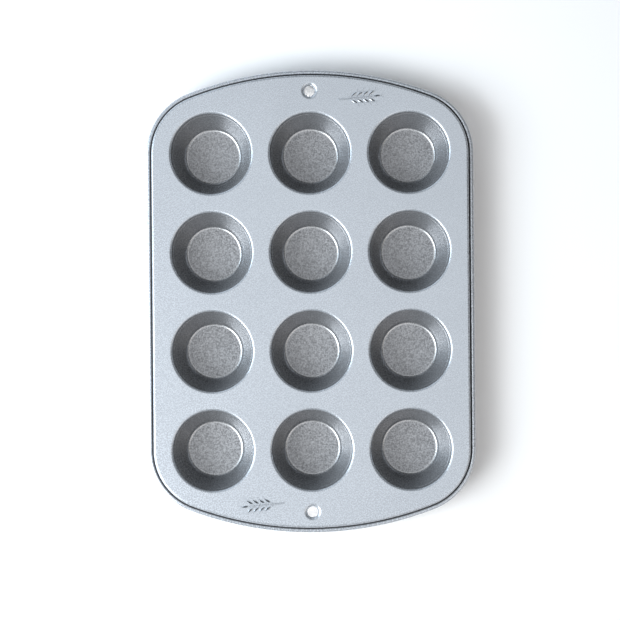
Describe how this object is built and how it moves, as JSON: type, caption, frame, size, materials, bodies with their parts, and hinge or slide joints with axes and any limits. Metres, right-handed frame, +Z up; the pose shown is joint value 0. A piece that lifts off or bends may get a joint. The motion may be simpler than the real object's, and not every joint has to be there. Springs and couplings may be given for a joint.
{
  "type": "mini muffin tin",
  "caption": "Shallow oblong baking tin with round tapered cups sunk in a flat sheet, a rolled wired rim with rounded corners and bowed ends, and a hanging hole at each end.",
  "frame": {"origin": "middle of the rim's outline, on the plane of the undersides of the cup floors", "axes": "+X across the tin, along its rows of three cups; +Y along the tin, along its columns of four cups; +Z up, out of the cups' mouths"},
  "size_m": [0.1886, 0.2666, 0.0208],
  "materials": {
    "coated_sheet": "satin silver-grey non-stick coating with a fine metallic sparkle",
    "coated_cup": "the same satin silver-grey non-stick coating, on drawn cups",
    "rim_wire": "plain drawn wire, hidden in the roll"
  },
  "bodies": {
    "root": {"top_sheet": "coated_sheet", "rim_wire": "rim_wire", "cup_a1": "coated_cup", "cup_a2": "coated_cup", "cup_a3": "coated_cup", "cup_b1": "coated_cup", "cup_b2": "coated_cup", "cup_b3": "coated_cup", "cup_c1": "coated_cup", "cup_c2": "coated_cup", "cup_c3": "coated_cup", "cup_d1": "coated_cup", "cup_d2": "coated_cup", "cup_d3": "coated_cup"}
  },
  "joints": []
}
